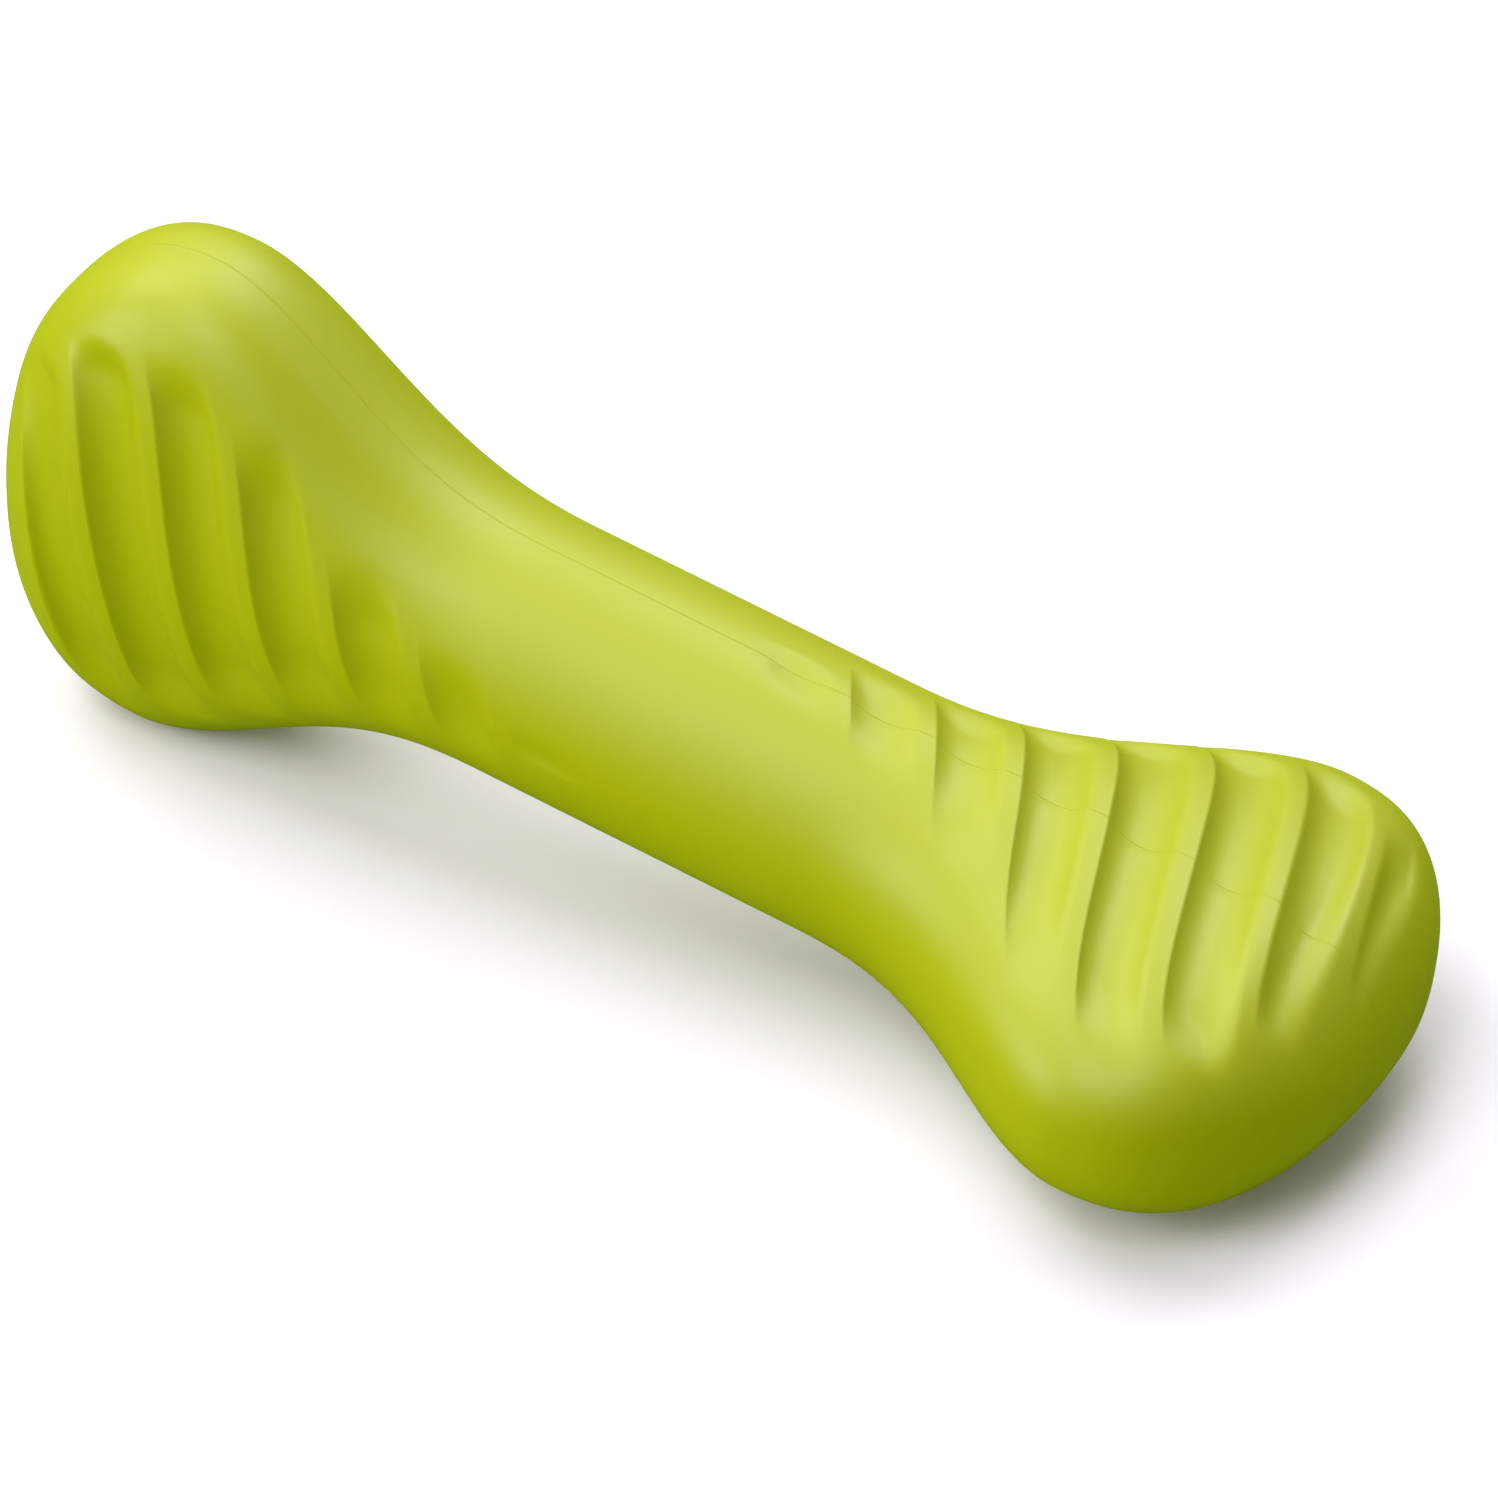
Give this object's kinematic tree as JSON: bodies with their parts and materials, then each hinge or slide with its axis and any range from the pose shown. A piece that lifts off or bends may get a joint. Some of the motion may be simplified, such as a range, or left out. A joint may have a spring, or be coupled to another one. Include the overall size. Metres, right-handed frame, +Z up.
{
  "type": "rubber chew bone",
  "caption": "Solid rubber chew bone: a round shaft between fan-shaped ends set a quarter turn apart, each broad face carrying leaning scooped ridges for chewing and grip.",
  "frame": {"origin": "on the surface that the bone rests on, under the middle of its box", "axes": "+X runs along the bone from the upright fan to the flat fan, +Z is up as it rests, -Y faces the viewer of the upright fan's ridged face"},
  "size_m": [0.209, 0.0776, 0.0768],
  "materials": {
    "green_rubber": "satin moulded rubber, lime green right through"
  },
  "bodies": {
    "root": {"bone_body": "green_rubber"}
  },
  "joints": []
}
